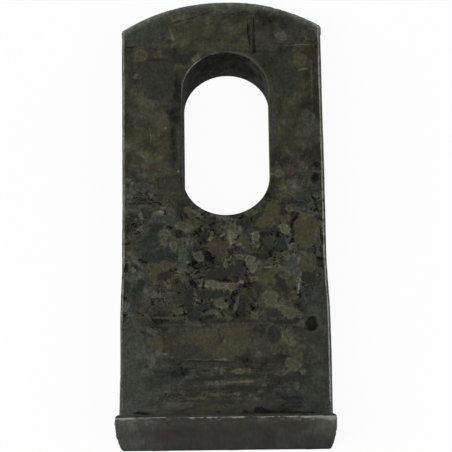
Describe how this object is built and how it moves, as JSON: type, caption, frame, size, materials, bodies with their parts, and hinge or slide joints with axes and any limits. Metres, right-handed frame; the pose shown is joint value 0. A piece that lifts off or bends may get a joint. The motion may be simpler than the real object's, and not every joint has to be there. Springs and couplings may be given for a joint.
{
  "type": "mulcher blade",
  "caption": "Forged flat blade for a flail mulcher: rounded upper end, long punched slot for its pin, and a foot that stands forward into a ground cutting toe.",
  "frame": {"origin": "axis of the slot's upper end, where the pin seats, on the blade's back face", "axes": "+X across the blade, to the right seen from the front; +Y along the blade to its rounded end; +Z out of the front face, which the toe stands out of"},
  "size_m": [0.0639, 0.1447, 0.022],
  "materials": {
    "forged_steel": "dark oiled forging scale, worn bright along the edges and the toe"
  },
  "bodies": {
    "root": {"blade": "forged_steel"}
  },
  "joints": []
}
